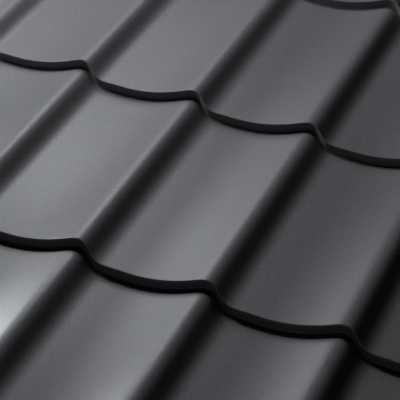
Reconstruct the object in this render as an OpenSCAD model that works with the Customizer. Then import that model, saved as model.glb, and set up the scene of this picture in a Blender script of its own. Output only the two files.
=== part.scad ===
// Tile effect metal roofing sheet: one steel sheet, rolled into leaning waves across its
// width and pressed into a row of tile courses along its length.
// X runs across the waves, Y up the roof, Z out of the roof. The origin is the middle of the
// underside's lowest plane, so the sheet lies on its pans as it does on its battens.

/* [Sheet] */
// Number of whole waves that one sheet covers
waves = 6; // [1:1:8]
// Distance from one crest to the next
wave_pitch = 183.33; // [150:0.01:240]
// Number of whole tile courses
courses = 3; // [1:1:6]
// Length of one tile course up the roof
course_len = 350; // [250:1:450]
// Length past the last step, which the next sheet up laps over
end_lap = 130; // [40:1:240]
// Thickness of the coated steel
sheet_t = 0.5; // [0.4:0.05:1.2]

/* [Wave] */
// Height of a crest above the pan beside it
wave_h = 16; // [13:0.5:22]
// Radius over the crest
crest_r = 24; // [12:0.5:36]
// Radius at the foot of the steep side
foot_r = 28; // [12:0.5:45]
// Radius that lifts the pan into the gentle side
pan_r = 320; // [200:1:400]
// Slope of the gentle side where it meets the crest, in degrees
ramp_a = 15.5; // [10:0.5:17]
// Slope of the steep side, in degrees
flank_a = 33; // [24:0.5:45]

/* [Tile step] */
// Height of the step from one course down to the next
step_h = 14; // [9:0.5:25]
// Outside radius over the nose of the step
nose_r = 1.5; // [1:0.1:4]
// Radius where the step meets the course below
toe_r = 2; // [1:0.1:4]
// Distance that the scalloped step sits back up the roof, for each unit that the wave rises
scallop = 1; // [0:0.05:1.2]

/* [Side laps] */
// Straight lip along the underlapping edge
lip_w = 7; // [3:0.5:15]
// Radius of the drain groove beside the lip
groove_r = 3.5; // [2:0.5:5]
// Angle that the groove's sides turn through, in degrees
groove_a = 50; // [30:1:60]
// Straight side between the drain groove and the first crest
groove_gap = 14; // [4:0.5:25]
// Flat that the overlapping edge keeps past its last foot
hem_w = 4; // [1:0.5:20]

/* [Hidden] */

// Straight faces that each bend is divided into
CREST_RISE_STEPS = 2;
CREST_FALL_STEPS = 3;
FOOT_STEPS = 3;
PAN_STEPS = 4;
GROOVE_STEPS = 2;
NOSE_STEPS = 3;
TOE_STEPS = 2;

// The wave's straight stretches, from the heights that its bends leave over
ramp_len = (wave_h - (pan_r + crest_r) * (1 - cos(ramp_a))) / sin(ramp_a);
flank_len = (wave_h - (crest_r + foot_r) * (1 - cos(flank_a))) / sin(flank_a);
ramp_w = (pan_r + crest_r) * sin(ramp_a) + ramp_len * cos(ramp_a);
flank_w = (crest_r + foot_r) * sin(flank_a) + flank_len * cos(flank_a);
floor_w = wave_pitch - ramp_w - flank_w;

// Each course falls by one step over its length, so that every course has the same height
course_a = atan(step_h / course_len);
course_run = (course_len - (nose_r + toe_r) * (1 + sin(course_a))) / cos(course_a);
riser_run = course_run * sin(course_a) - (nose_r + toe_r) * cos(course_a);
lap_run = (end_lap - nose_r * (1 + sin(course_a))) / cos(course_a);
sheet_len = courses * course_len + end_lap;

// A path is a list of [along, up, heading] points. A move along it is [length] for a straight
// stretch, or [radius, turn, steps] for a bend, with left turns positive.
function straight(p, d) = [p[0] + d * cos(p[2]), p[1] + d * sin(p[2]), p[2]];

function bend(p, r, turn, share) =
    let (side = sign(turn), heading = p[2] + turn * share)
    [
        p[0] + side * r * (sin(heading) - sin(p[2])),
        p[1] - side * r * (cos(heading) - cos(p[2])),
        heading
    ];

function moved(p, move) =
    len(move) == 1
        ? [straight(p, move[0])]
        : [for (i = [1:move[2]]) bend(p, move[0], move[1], i / move[2])];

function trace(moves, p, i = 0) =
    i == len(moves)
        ? [p]
        : let (run = moved(p, moves[i]))
          concat(
              [p],
              [for (k = [0:1:len(run) - 2]) run[k]],
              trace(moves, run[len(run) - 1], i + 1)
          );

function shifted(path, along, up) = [for (p = path) [p[0] + along, p[1] + up, p[2]]];

// Moves over one crest and down the steep side to the next pan
CREST_MOVES = [
    [crest_r, -ramp_a, CREST_RISE_STEPS],
    [crest_r, -flank_a, CREST_FALL_STEPS],
    [flank_len],
    [foot_r, flank_a, FOOT_STEPS]
];

// Moves along one pan and up its gentle side
PAN_MOVES = [
    [floor_w],
    [pan_r, ramp_a, PAN_STEPS],
    [ramp_len]
];

// The underlapping edge: a lip, a drain groove, and the side of the first crest
UNDERLAP_MOVES = [
    [lip_w],
    [groove_r, -groove_a, GROOVE_STEPS],
    [groove_r, 2 * groove_a, 2 * GROOVE_STEPS],
    [groove_r, -groove_a, GROOVE_STEPS],
    [groove_gap]
];

function repeated(moves, n) = [for (i = [1:1:n]) each moves];

WAVE_MOVES = concat(
    UNDERLAP_MOVES,
    CREST_MOVES,
    repeated(concat(PAN_MOVES, CREST_MOVES), waves),
    [[hem_w]]
);

RISER_MOVES = [
    [riser_run],
    [nose_r, -90 - course_a, NOSE_STEPS]
];

TILE_MOVES = concat(
    RISER_MOVES,
    [[course_run], [toe_r, 90 + course_a, TOE_STEPS]]
);

// Both paths are traced from a corner, then centred. The pans are the wave path's zero.
RAW_WAVE = trace(WAVE_MOVES, [0, 0, ramp_a]);
last_wave = RAW_WAVE[len(RAW_WAVE) - 1];
sheet_w = last_wave[0];
WAVE_PATH = shifted(RAW_WAVE, -sheet_w / 2, -last_wave[1]);

// The front edge comes down to the level of the pans' underside
toe_rise = toe_r * cos(course_a);
toe_sag = toe_r * (1 - cos(course_a));
front_edge = [[0, -sheet_t - toe_sag, 90], [0, toe_rise, 90]];
STEP_TRACE = trace(
    concat(repeated(TILE_MOVES, courses), RISER_MOVES, [[lap_run]]),
    front_edge[1]
);
STEP_PATH = shifted(
    concat([front_edge[0]], STEP_TRACE),
    -(sheet_len + scallop * wave_h) / 2,
    sheet_t + toe_sag
);

// A point of the sheet's face is the sum of one point of each path, with every line across the
// sheet scalloped: the crests sit back up the roof and the pans reach forward
function face_point(wave, step) = [wave[0], step[0] + scallop * wave[1], wave[1] + step[1]];

// Direction out of the face, square to both paths
function outward(wave, step) =
    let (
        across = [cos(wave[2]), scallop * sin(wave[2]), sin(wave[2])],
        along = [0, cos(step[2]), sin(step[2])],
        square = cross(across, along)
    )
    square / norm(square);

function under_point(wave, step) = face_point(wave, step) - sheet_t * outward(wave, step);

module roofing_sheet() {
    columns = len(WAVE_PATH);
    rows = len(STEP_PATH);
    under = columns * rows;
    points = concat(
        [for (wave = WAVE_PATH) for (step = STEP_PATH) face_point(wave, step)],
        [for (wave = WAVE_PATH) for (step = STEP_PATH) under_point(wave, step)]
    );
    faces = concat(
        [
            for (i = [0:columns - 2]) for (j = [0:rows - 2])
                let (a = i * rows + j, b = a + rows)
                each [[a, a + 1, b + 1, b], [under + a, under + b, under + b + 1, under + a + 1]]
        ],
        [
            for (i = [0:columns - 2])
                let (a = i * rows, b = a + rows, c = a + rows - 1, d = b + rows - 1)
                each [[a, b, under + b, under + a], [c, under + c, under + d, d]]
        ],
        [
            for (j = [0:rows - 2])
                let (a = j, b = (columns - 1) * rows + j)
                each [[a, under + a, under + a + 1, a + 1], [b, b + 1, under + b + 1, under + b]]
        ]
    );
    color("dimgray") polyhedron(points = points, faces = faces, convexity = 12);
}

roofing_sheet();
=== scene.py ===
"""Dresses the tile effect metal roofing sheet.

The sheet's face, back and cut edges are one finely divided mesh, traced from the same radii,
slopes and lengths as the solid that it stands for. The bends of its waves run out a little
further into the straight stretches beside them. Lengths are in metres.
"""

from __future__ import annotations

import logging
import math
from bisect import bisect
from collections.abc import Iterable, Sequence
from dataclasses import dataclass
from enum import Enum

import bpy
from mathutils import Matrix, Vector

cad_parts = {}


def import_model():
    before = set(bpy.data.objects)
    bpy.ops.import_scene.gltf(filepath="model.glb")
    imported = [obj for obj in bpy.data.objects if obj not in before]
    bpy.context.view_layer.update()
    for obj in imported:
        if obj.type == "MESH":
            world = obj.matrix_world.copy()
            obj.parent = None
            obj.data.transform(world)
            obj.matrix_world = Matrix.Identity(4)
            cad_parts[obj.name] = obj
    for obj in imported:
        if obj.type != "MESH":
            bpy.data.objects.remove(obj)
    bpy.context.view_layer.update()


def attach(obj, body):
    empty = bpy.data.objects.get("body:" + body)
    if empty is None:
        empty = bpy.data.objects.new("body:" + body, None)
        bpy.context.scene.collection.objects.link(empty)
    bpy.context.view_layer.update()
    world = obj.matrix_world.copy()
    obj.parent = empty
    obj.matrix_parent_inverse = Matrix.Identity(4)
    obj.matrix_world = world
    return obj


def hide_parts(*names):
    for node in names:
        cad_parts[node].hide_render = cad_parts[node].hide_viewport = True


log = logging.getLogger("roofing_sheet")

NODE = "roofing_sheet"
MM = 0.001

# Samples on each side of a station, over which a bend is softened
SOFT_SAMPLES = 8
# Features of the slow drift to a metre: across the sheet, along it and out of it
DRIFT_SCALE = (6.0, 1.6, 6.0)


@dataclass(frozen=True)
class Station:
    """One point of a path, with the direction that the path takes there."""

    along: float
    up: float
    heading: float


class Path:
    """A line of stations, traced by straight runs and bends."""

    def __init__(self, start: Station) -> None:
        """Starts the path.

        Args:
            start: The first station.
        """
        self.stations: list[Station] = [start]

    @property
    def end(self) -> Station:
        """The last station."""
        return self.stations[-1]

    def run(self, length: float, spacing: float, margin: float = 0.0) -> Path:
        """Adds a straight run.

        Args:
            length: Length of the run.
            spacing: Longest step between its stations.
            margin: Length of the short step at each end, which keeps a bend's shading off the run.

        Returns:
            The path itself.
        """
        marks = [0.0, length]
        if 0.0 < margin < length / 2:
            marks = [0.0, margin, length - margin, length]
        start = self.end
        for low, high in zip(marks, marks[1:]):
            pieces = max(1, math.ceil((high - low) / spacing))
            for piece in range(1, pieces + 1):
                reach = low + (high - low) * piece / pieces
                self.stations.append(
                    Station(
                        start.along + reach * math.cos(start.heading),
                        start.up + reach * math.sin(start.heading),
                        start.heading,
                    )
                )
        return self

    def bend(self, radius: float, turn: float, pieces: int) -> Path:
        """Adds a bend.

        Args:
            radius: Radius of the bend.
            turn: Angle that it turns through, positive to the left.
            pieces: Number of steps that it is divided into.

        Returns:
            The path itself.
        """
        start = self.end
        side = math.copysign(radius, turn)
        for piece in range(1, pieces + 1):
            heading = start.heading + turn * piece / pieces
            self.stations.append(
                Station(
                    start.along + side * (math.sin(heading) - math.sin(start.heading)),
                    start.up - side * (math.cos(heading) - math.cos(start.heading)),
                    heading,
                )
            )
        return self

    def point(self, marks: Sequence[float], mark: float) -> tuple[float, float]:
        """Finds a point by its distance along the path.

        Args:
            marks: Each station's distance from the path's start.
            mark: Distance of the point.

        Returns:
            Where the point lies along and up.
        """
        index = min(max(bisect(marks, mark), 1), len(marks) - 1)
        low, high = self.stations[index - 1], self.stations[index]
        share = (mark - marks[index - 1]) / (marks[index] - marks[index - 1])
        return low.along + share * (high.along - low.along), low.up + share * (high.up - low.up)

    def soften(self, reach: float, first: int) -> Path:
        """Lets the bends run out into the straight stretches beside them.

        Args:
            reach: Distance before and after each station that it is averaged over.
            first: Index of the station that the softened stretch starts at.

        Returns:
            The path itself.
        """
        marks = [0.0]
        for low, high in zip(self.stations, self.stations[1:]):
            marks.append(marks[-1] + math.hypot(high.along - low.along, high.up - low.up))
        soft = self.stations[: first + 1]
        steps = range(-SOFT_SAMPLES, SOFT_SAMPLES + 1)
        for mark in marks[first + 1 : -1]:
            half = min(reach, mark - marks[first], marks[-1] - mark)
            around = [self.point(marks, mark + half * step / SOFT_SAMPLES) for step in steps]
            heading = math.atan2(around[-1][1] - around[0][1], around[-1][0] - around[0][0])
            middle = [sum(values) / len(around) for values in zip(*around)]
            soft.append(Station(middle[0], middle[1], heading))
        self.stations = soft + self.stations[-1:]
        return self

    def moved(self, along: float, up: float) -> list[Station]:
        """The stations, shifted as a whole.

        Args:
            along: Shift along the path's first axis.
            up: Shift upwards.

        Returns:
            New stations.
        """
        return [Station(s.along + along, s.up + up, s.heading) for s in self.stations]


@dataclass(frozen=True)
class WaveProfile:
    """The leaning waves, across the sheet."""

    waves: int = 6
    pitch: float = 183.33 * MM
    height: float = 16 * MM
    crest_radius: float = 24 * MM
    foot_radius: float = 28 * MM
    pan_radius: float = 320 * MM
    ramp: float = math.radians(15.5)
    flank: float = math.radians(33)
    lip: float = 7 * MM
    groove_radius: float = 3.5 * MM
    groove: float = math.radians(50)
    groove_gap: float = 14 * MM
    hem: float = 4 * MM
    rise_pieces: int = 5
    fall_pieces: int = 10
    foot_pieces: int = 9
    pan_pieces: int = 12
    groove_pieces: int = 4
    runout: float = 9 * MM
    spacing: float = 4 * MM
    margin: float = 1 * MM

    def rise(self, bends: float, slope: float) -> float:
        """Straight length that is left of a side after its bends.

        Args:
            bends: Sum of the radii of the bends at the side's two ends.
            slope: Slope of the side.

        Returns:
            Length of the side's straight stretch.
        """
        return (self.height - bends * (1 - math.cos(slope))) / math.sin(slope)

    def width(self, bends: float, slope: float) -> float:
        """Width of one side of a wave, from the crest's top to the pan.

        Args:
            bends: Sum of the radii of the bends at the side's two ends.
            slope: Slope of the side.

        Returns:
            Width across the sheet.
        """
        return bends * math.sin(slope) + self.rise(bends, slope) * math.cos(slope)

    def path(self) -> list[Station]:
        """Traces the wave from the underlapping edge to the overlapping edge.

        The lip and the groove keep their bends, and the bends of the waves are softened. That
        lowers the crests a little, so all heights are then lifted to bring them back.

        Returns:
            Stations, centred across the sheet, with the pans at zero.
        """
        gentle = self.pan_radius + self.crest_radius
        steep = self.crest_radius + self.foot_radius
        floor = self.pitch - self.width(gentle, self.ramp) - self.width(steep, self.flank)
        line = Path(Station(0.0, 0.0, self.ramp)).run(self.lip, self.spacing, self.margin)
        for turn, share in ((-self.groove, 1), (2 * self.groove, 2), (-self.groove, 1)):
            line.bend(self.groove_radius, turn, share * self.groove_pieces)
        waves_start = len(line.stations) - 1
        line.run(self.groove_gap, self.spacing, self.margin)
        for wave in range(self.waves + 1):
            if wave:
                line.run(floor, self.spacing, self.margin)
                line.bend(self.pan_radius, self.ramp, self.pan_pieces)
                line.run(self.rise(gentle, self.ramp), self.spacing, self.margin)
            line.bend(self.crest_radius, -self.ramp, self.rise_pieces)
            line.bend(self.crest_radius, -self.flank, self.fall_pieces)
            line.run(self.rise(steep, self.flank), self.spacing, self.margin)
            line.bend(self.foot_radius, self.flank, self.foot_pieces)
        line.run(self.hem, self.spacing, self.margin)
        line.soften(self.runout, waves_start)
        soft = line.moved(-line.end.along / 2, -line.end.up)
        lift = self.height / max(station.up for station in soft)
        return [
            Station(s.along, s.up * lift, math.atan(math.tan(s.heading) * lift)) for s in soft
        ]


@dataclass(frozen=True)
class TileSteps:
    """The pressed tile courses, up the roof."""

    courses: int = 3
    course: float = 350 * MM
    end_lap: float = 130 * MM
    step: float = 14 * MM
    nose_radius: float = 1.5 * MM
    toe_radius: float = 2 * MM
    nose_pieces: int = 8
    toe_pieces: int = 6
    spacing: float = 60 * MM
    margin: float = 1.2 * MM

    def path(self, thickness: float) -> list[Station]:
        """Traces the courses from the front edge to the back edge.

        Args:
            thickness: Thickness of the steel, which the pans' face stands at.

        Returns:
            Stations, centred along a pan.
        """
        fall = math.atan(self.step / self.course)
        bends = self.nose_radius + self.toe_radius
        run = (self.course - bends * (1 + math.sin(fall))) / math.cos(fall)
        riser = run * math.sin(fall) - bends * math.cos(fall)
        lap = (self.end_lap - self.nose_radius * (1 + math.sin(fall))) / math.cos(fall)
        toe_sag = self.toe_radius * (1 - math.cos(fall))
        toe_rise = self.toe_radius * math.cos(fall)
        upright = math.pi / 2
        line = Path(Station(0.0, -thickness - toe_sag, upright))
        line.run(thickness + toe_sag + toe_rise, self.spacing)
        for _ in range(self.courses):
            line.run(riser, self.spacing, self.margin)
            line.bend(self.nose_radius, -upright - fall, self.nose_pieces)
            line.run(run, self.spacing, self.margin)
            line.bend(self.toe_radius, upright + fall, self.toe_pieces)
        line.run(riser, self.spacing, self.margin)
        line.bend(self.nose_radius, -upright - fall, self.nose_pieces)
        line.run(lap, self.spacing, self.margin)
        return line.moved(-line.end.along / 2, thickness + toe_sag)


class Finish(Enum):
    """The sheet's three finishes, in the order of its material slots."""

    FACE = 0
    BACK = 1
    CUT = 2


@dataclass(frozen=True)
class SheetMesh:
    """The sheet as one closed mesh: face, back and cut edges."""

    wave: WaveProfile = WaveProfile()
    steps: TileSteps = TileSteps()
    scallop: float = 1.0
    thickness: float = 0.5 * MM
    sharp: float = math.radians(50)

    def face_point(self, across: Station, along: Station) -> Vector:
        """Point of the coated face.

        Args:
            across: Station of the wave path.
            along: Station of the step path.

        Returns:
            The sum of the two, set back up the roof as far as the scallop sets that height.
        """
        set_back = self.scallop * (across.up - self.wave.height / 2)
        return Vector((across.along, along.along + set_back, across.up + along.up))

    def outward(self, across: Station, along: Station) -> Vector:
        """Direction out of the face, square to both paths.

        Args:
            across: Station of the wave path.
            along: Station of the step path.

        Returns:
            A vector of length 1.
        """
        lean = math.sin(across.heading)
        wave_way = Vector((math.cos(across.heading), self.scallop * lean, lean))
        step_way = Vector((0.0, math.cos(along.heading), math.sin(along.heading)))
        return wave_way.cross(step_way).normalized()

    def back_point(self, across: Station, along: Station) -> Vector:
        """Point of the back, under the same two stations.

        Args:
            across: Station of the wave path.
            along: Station of the step path.

        Returns:
            The face's point, set back by the steel's thickness.
        """
        return self.face_point(across, along) - self.thickness * self.outward(across, along)

    def quads(self, columns: int, rows: int) -> Iterable[tuple[tuple[int, ...], Finish]]:
        """Lists the faces.

        Args:
            columns: Number of stations across the sheet.
            rows: Number of stations along it.

        Yields:
            Each quad's corners and its finish.
        """
        under = columns * rows
        for column in range(columns - 1):
            first = column * rows
            for row in range(rows - 1):
                a = first + row
                b = a + rows
                yield (a, b, b + 1, a + 1), Finish.FACE
                yield (under + a, under + a + 1, under + b + 1, under + b), Finish.BACK
            end = first + rows - 1
            yield (first, under + first, under + first + rows, first + rows), Finish.CUT
            yield (end, end + rows, under + end + rows, under + end), Finish.CUT
        last = (columns - 1) * rows
        for row in range(rows - 1):
            yield (row, row + 1, under + row + 1, under + row), Finish.CUT
            a = last + row
            yield (a, under + a, under + a + 1, a + 1), Finish.CUT

    def build(self, name: str) -> bpy.types.Object:
        """Makes the mesh.

        Args:
            name: Name of the new object.

        Returns:
            The object, linked to the scene.
        """
        across = self.wave.path()
        along = self.steps.path(self.thickness)
        points = [self.face_point(a, b) for a in across for b in along]
        points += [self.back_point(a, b) for a in across for b in along]
        quads = list(self.quads(len(across), len(along)))
        mesh = bpy.data.meshes.new(name)
        mesh.from_pydata(points, [], [corners for corners, _ in quads])
        mesh.polygons.foreach_set("material_index", [finish.value for _, finish in quads])
        mesh.shade_smooth()
        mesh.set_sharp_from_angle(angle=self.sharp)
        mesh.validate()
        sheet = bpy.data.objects.new(name, mesh)
        bpy.context.scene.collection.objects.link(sheet)
        return sheet


class NodeSheet:
    """A node tree with short calls for adding and joining its nodes."""

    def __init__(self, tree: bpy.types.NodeTree) -> None:
        """Wraps a tree.

        Args:
            tree: A material's, world's or group's node tree.
        """
        self.tree = tree

    def add(self, kind: str, **settings: object) -> bpy.types.Node:
        """Adds one node.

        Args:
            kind: The node's type name.
            **settings: Attributes to set on it.

        Returns:
            The node.
        """
        node = self.tree.nodes.new(kind)
        for key, value in settings.items():
            setattr(node, key, value)
        return node

    def join(self, source: bpy.types.NodeSocket, target: bpy.types.NodeSocket) -> None:
        """Joins an output to an input.

        Args:
            source: The output.
            target: The input.
        """
        self.tree.links.new(source, target)

    def noise(
        self, place: bpy.types.NodeSocket, scale: float, detail: float = 3.0
    ) -> bpy.types.NodeSocket:
        """Adds a noise texture.

        Args:
            place: Coordinates that it reads.
            scale: Number of features to a unit of those coordinates.
            detail: Number of finer octaves.

        Returns:
            The noise's value.
        """
        node = self.add("ShaderNodeTexNoise")
        node.inputs["Scale"].default_value = scale
        node.inputs["Detail"].default_value = detail
        self.join(place, node.inputs["Vector"])
        return node.outputs["Fac"]

    def around_one(
        self, noise: bpy.types.NodeSocket, strength: bpy.types.NodeSocket
    ) -> bpy.types.NodeSocket:
        """Turns a noise, which varies around a half, into a factor that varies around 1.

        Args:
            noise: The noise's value.
            strength: How far the factor varies.

        Returns:
            The factor.
        """
        centred = self.add("ShaderNodeMath", operation="SUBTRACT")
        centred.inputs[1].default_value = 0.5
        self.join(noise, centred.inputs[0])
        factor = self.add("ShaderNodeMath", operation="MULTIPLY_ADD")
        factor.inputs[2].default_value = 1.0
        self.join(centred.outputs[0], factor.inputs[0])
        self.join(strength, factor.inputs[1])
        return factor.outputs[0]


def group_tree(name: str, inputs: dict[str, float], outputs: Sequence[str]) -> bpy.types.NodeTree:
    """Makes an empty shader node group of plain values.

    Args:
        name: Name of the group.
        inputs: Each input's name and default.
        outputs: Each output's name.

    Returns:
        The group, with its input and output nodes.
    """
    tree = bpy.data.node_groups.new(name, "ShaderNodeTree")
    for label, default in inputs.items():
        socket = tree.interface.new_socket(label, in_out="INPUT", socket_type="NodeSocketFloat")
        socket.default_value = default
    for label in outputs:
        tree.interface.new_socket(label, in_out="OUTPUT", socket_type="NodeSocketFloat")
    tree.nodes.new("NodeGroupInput")
    tree.nodes.new("NodeGroupOutput")
    return tree


def coat_grain() -> bpy.types.NodeTree:
    """Makes the fine grain of a stoved coat: a pebbled height and a fleck of tone.

    Returns:
        The group. Its inputs are the grains to a metre and the fleck's strength.
    """
    tree = group_tree("coat_grain", {"Grains": 900.0, "Fleck": 0.1}, ("Height", "Tone"))
    sheet = NodeSheet(tree)
    given = tree.nodes["Group Input"].outputs
    asked = tree.nodes["Group Output"].inputs
    place = sheet.add("ShaderNodeTexCoord").outputs["Object"]
    scaled = sheet.add("ShaderNodeVectorMath", operation="SCALE")
    sheet.join(place, scaled.inputs[0])
    sheet.join(given["Grains"], scaled.inputs["Scale"])
    pebbles = sheet.noise(scaled.outputs["Vector"], scale=1.0, detail=2.0)
    sheet.join(pebbles, asked["Height"])
    fleck = sheet.noise(scaled.outputs["Vector"], scale=0.55, detail=1.0)
    sheet.join(sheet.around_one(fleck, given["Fleck"]), asked["Tone"])
    return tree


def roll_drift() -> bpy.types.NodeTree:
    """Makes the slow drift of tone and gloss along the direction in which steel is rolled.

    Returns:
        The group. Its input is the drift's strength.
    """
    tree = group_tree("roll_drift", {"Drift": 0.1}, ("Tone", "Gloss"))
    sheet = NodeSheet(tree)
    given = tree.nodes["Group Input"].outputs
    asked = tree.nodes["Group Output"].inputs
    place = sheet.add("ShaderNodeTexCoord").outputs["Object"]
    stretch = sheet.add("ShaderNodeMapping")
    stretch.inputs["Scale"].default_value = DRIFT_SCALE
    sheet.join(place, stretch.inputs["Vector"])
    for label, scale in (("Tone", 1.0), ("Gloss", 2.3)):
        drift = sheet.noise(stretch.outputs["Vector"], scale)
        sheet.join(sheet.around_one(drift, given["Drift"]), asked[label])
    return tree


@dataclass(frozen=True)
class Coat:
    """A stoved paint coat, with its colour, gloss and grain.

    Attributes:
        grains: Pebbles of the grain to a metre.
        fleck: How far the fine fleck varies the colour.
        drift: How far the slow drift varies colour and roughness.
        grain_depth: Height of the grain.
    """

    name: str
    colour: tuple[float, float, float]
    roughness: float
    grains: float
    fleck: float
    drift: float
    grain_depth: float
    metallic: float = 0.0
    specular: float = 0.5

    def material(self, grain: bpy.types.NodeTree, drift: bpy.types.NodeTree) -> bpy.types.Material:
        """Makes the material.

        Args:
            grain: The coat_grain group.
            drift: The roll_drift group.

        Returns:
            The material.
        """
        material = bpy.data.materials.new(self.name)
        material.use_nodes = True
        sheet = NodeSheet(material.node_tree)
        shader = material.node_tree.nodes["Principled BSDF"]
        shader.inputs["Metallic"].default_value = self.metallic
        shader.inputs["Specular IOR Level"].default_value = self.specular
        pebbles = sheet.add("ShaderNodeGroup", node_tree=grain)
        pebbles.inputs["Grains"].default_value = self.grains
        pebbles.inputs["Fleck"].default_value = self.fleck
        slow = sheet.add("ShaderNodeGroup", node_tree=drift)
        slow.inputs["Drift"].default_value = self.drift
        tone = sheet.add("ShaderNodeMath", operation="MULTIPLY")
        sheet.join(pebbles.outputs["Tone"], tone.inputs[0])
        sheet.join(slow.outputs["Tone"], tone.inputs[1])
        colour = sheet.add("ShaderNodeVectorMath", operation="SCALE")
        colour.inputs[0].default_value = self.colour
        sheet.join(tone.outputs[0], colour.inputs["Scale"])
        sheet.join(colour.outputs["Vector"], shader.inputs["Base Color"])
        rough = sheet.add("ShaderNodeMath", operation="MULTIPLY")
        rough.inputs[1].default_value = self.roughness
        sheet.join(slow.outputs["Gloss"], rough.inputs[0])
        sheet.join(rough.outputs[0], shader.inputs["Roughness"])
        bump = sheet.add("ShaderNodeBump")
        bump.inputs["Strength"].default_value = 1.0
        bump.inputs["Distance"].default_value = self.grain_depth
        sheet.join(pebbles.outputs["Height"], bump.inputs["Height"])
        sheet.join(bump.outputs["Normal"], shader.inputs["Normal"])
        return material


@dataclass(frozen=True)
class SheetFinishes:
    """The three finishes that the sheet shows."""

    face: Coat = Coat(
        name="graphite_face_coat",
        colour=(0.160, 0.160, 0.161),
        roughness=0.35,
        grains=750.0,
        fleck=0.80,
        drift=0.10,
        grain_depth=0.12 * MM,
    )
    back: Coat = Coat(
        name="grey_backing_coat",
        colour=(0.40, 0.41, 0.40),
        roughness=0.55,
        grains=700.0,
        fleck=0.06,
        drift=0.14,
        grain_depth=0.02 * MM,
    )
    cut: Coat = Coat(
        name="cut_zinc_and_steel",
        colour=(0.42, 0.42, 0.41),
        roughness=0.38,
        grains=2400.0,
        fleck=0.5,
        drift=0.3,
        grain_depth=0.02 * MM,
        metallic=1.0,
    )

    def dress(self, sheet: bpy.types.Object) -> None:
        """Puts the materials on the sheet, in the order of Finish.

        Args:
            sheet: The sheet's object.
        """
        grain = coat_grain()
        drift = roll_drift()
        coats = {Finish.FACE: self.face, Finish.BACK: self.back, Finish.CUT: self.cut}
        for finish in Finish:
            sheet.data.materials.append(coats[finish].material(grain, drift))


class RoofingSheet:
    """The roofing sheet: its mesh and its finishes, in place of the plain solid."""

    def __init__(self, mesh: SheetMesh, finishes: SheetFinishes) -> None:
        """Keeps what the sheet is made of.

        Args:
            mesh: The sheet's shape.
            finishes: The sheet's materials.
        """
        self.mesh = mesh
        self.finishes = finishes

    def build(self) -> bpy.types.Object:
        """Makes the sheet and hands it to the frame.

        Returns:
            The sheet's object.
        """
        sheet = self.mesh.build("coated_roofing_sheet")
        self.finishes.dress(sheet)
        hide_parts(NODE)
        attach(sheet, "root")
        return sheet


@dataclass(frozen=True)
class Floor:
    """The plain pale floor that the sheet lies on."""

    half_width: float = 20.0
    drop: float = 0.1 * MM
    colour: tuple[float, float, float, float] = (0.72, 0.72, 0.71, 1.0)
    roughness: float = 0.8

    def build(self) -> bpy.types.Object:
        """Makes the floor.

        Returns:
            The floor's object.
        """
        turns = ((-1, -1), (1, -1), (1, 1), (-1, 1))
        corners = [(self.half_width * x, self.half_width * y, -self.drop) for x, y in turns]
        mesh = bpy.data.meshes.new("floor")
        mesh.from_pydata(corners, [], [(0, 1, 2, 3)])
        material = bpy.data.materials.new("pale_floor")
        material.use_nodes = True
        shader = material.node_tree.nodes["Principled BSDF"]
        shader.inputs["Base Color"].default_value = self.colour
        shader.inputs["Roughness"].default_value = self.roughness
        mesh.materials.append(material)
        floor = bpy.data.objects.new("floor", mesh)
        bpy.context.scene.collection.objects.link(floor)
        return floor


@dataclass(frozen=True)
class SoftLamp:
    """A rectangular studio lamp.

    Attributes:
        place: Where it stands.
        target: The point that it faces.
    """

    name: str
    place: tuple[float, float, float]
    width: float
    height: float
    watts: float
    target: tuple[float, float, float] = (-0.1, -0.05, 0.02)
    colour: tuple[float, float, float] = (0.972, 1.0, 1.060)

    def build(self) -> bpy.types.Object:
        """Makes the lamp.

        Returns:
            The lamp's object.
        """
        data = bpy.data.lights.new(self.name, "AREA")
        data.shape = "RECTANGLE"
        data.size = self.width
        data.size_y = self.height
        data.energy = self.watts
        data.color = self.colour
        lamp = bpy.data.objects.new(self.name, data)
        lamp.location = self.place
        towards = Vector(self.target) - Vector(self.place)
        lamp.rotation_euler = towards.to_track_quat("-Z", "Y").to_euler()
        bpy.context.scene.collection.objects.link(lamp)
        return lamp


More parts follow.
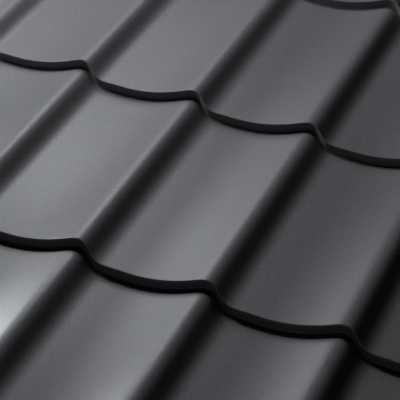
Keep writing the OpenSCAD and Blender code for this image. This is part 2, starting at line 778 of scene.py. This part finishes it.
@dataclass(frozen=True)
class Studio:
    """The lamps, the world and the picture's colour handling."""

    lamps: tuple[SoftLamp, ...] = (
        SoftLamp("far_lamp", (-2.143, 0.860, 1.347), 0.16, 0.31, 19.6),
        SoftLamp("far_high_lamp", (-2.056, 0.821, 1.494), 0.16, 0.31, 3.14),
        SoftLamp("side_lamp", (-1.777, 0.499, 0.793), 0.46, 0.46, 4.8),
        SoftLamp("small_side_lamp", (-1.118, 0.242, 0.584), 0.07, 0.14, 3.4),
        SoftLamp("near_lamp", (-0.729, 0.579, 0.667), 0.26, 0.26, 1.56),
        SoftLamp("near_left_lamp", (-0.811, 0.661, 0.467), 0.26, 0.26, 0.22),
        SoftLamp("near_back_lamp", (-0.545, 0.721, 0.667), 0.26, 0.26, 0.28),
        SoftLamp("near_low_lamp", (-0.602, 0.820, 0.467), 0.26, 0.26, 0.40),
        SoftLamp("front_fill", (-0.100, -2.600, 0.280), 0.62, 0.30, 1.1),
    )
    world_colour: tuple[float, float, float, float] = (0.001, 0.001, 0.001, 1.0)

    def build(self) -> None:
        """Makes the lamps and the world."""
        for lamp in self.lamps:
            lamp.build()
        world = bpy.data.worlds.new("studio")
        world.use_nodes = True
        plain = world.node_tree.nodes["Background"]
        plain.inputs["Color"].default_value = self.world_colour
        scene = bpy.context.scene
        scene.world = world
        scene.view_settings.view_transform = "Standard"


@dataclass(frozen=True)
class PhotoCamera:
    """The camera, at the photograph's viewing angle.

    Attributes:
        tilt: Angle that it is raised by from looking straight down.
        turn: Angle that it is then turned by about the vertical.
        roll: Angle that it is turned by about its own line of sight.
    """

    place: tuple[float, float, float] = (0.5056, -1.3439, 1.2380)
    tilt: float = math.radians(48.72)
    turn: float = math.radians(25.01)
    roll: float = math.radians(-0.16)
    lens: float = 123.9
    sensor: float = 36.0

    def build(self) -> bpy.types.Object:
        """Makes the camera and gives it to the scene.

        Returns:
            The camera's object.
        """
        data = bpy.data.cameras.new("photo_camera")
        data.lens = self.lens
        data.sensor_width = self.sensor
        camera = bpy.data.objects.new("photo_camera", data)
        turned = Matrix.Rotation(self.turn, 4, "Z") @ Matrix.Rotation(self.tilt, 4, "X")
        rolled = turned @ Matrix.Rotation(self.roll, 4, "Z")
        camera.matrix_world = Matrix.Translation(self.place) @ rolled
        bpy.context.scene.collection.objects.link(camera)
        bpy.context.scene.camera = camera
        return camera


def main() -> None:
    """Builds the sheet, its floor, its light and its camera."""
    logging.basicConfig(level=logging.INFO, format="%(name)s: %(message)s")
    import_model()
    PhotoCamera().build()
    Studio().build()
    Floor().build()
    sheet = RoofingSheet(SheetMesh(), SheetFinishes()).build()
    log.info("%s: %d faces", sheet.name, len(sheet.data.polygons))


if __name__ == "__main__":
    main()
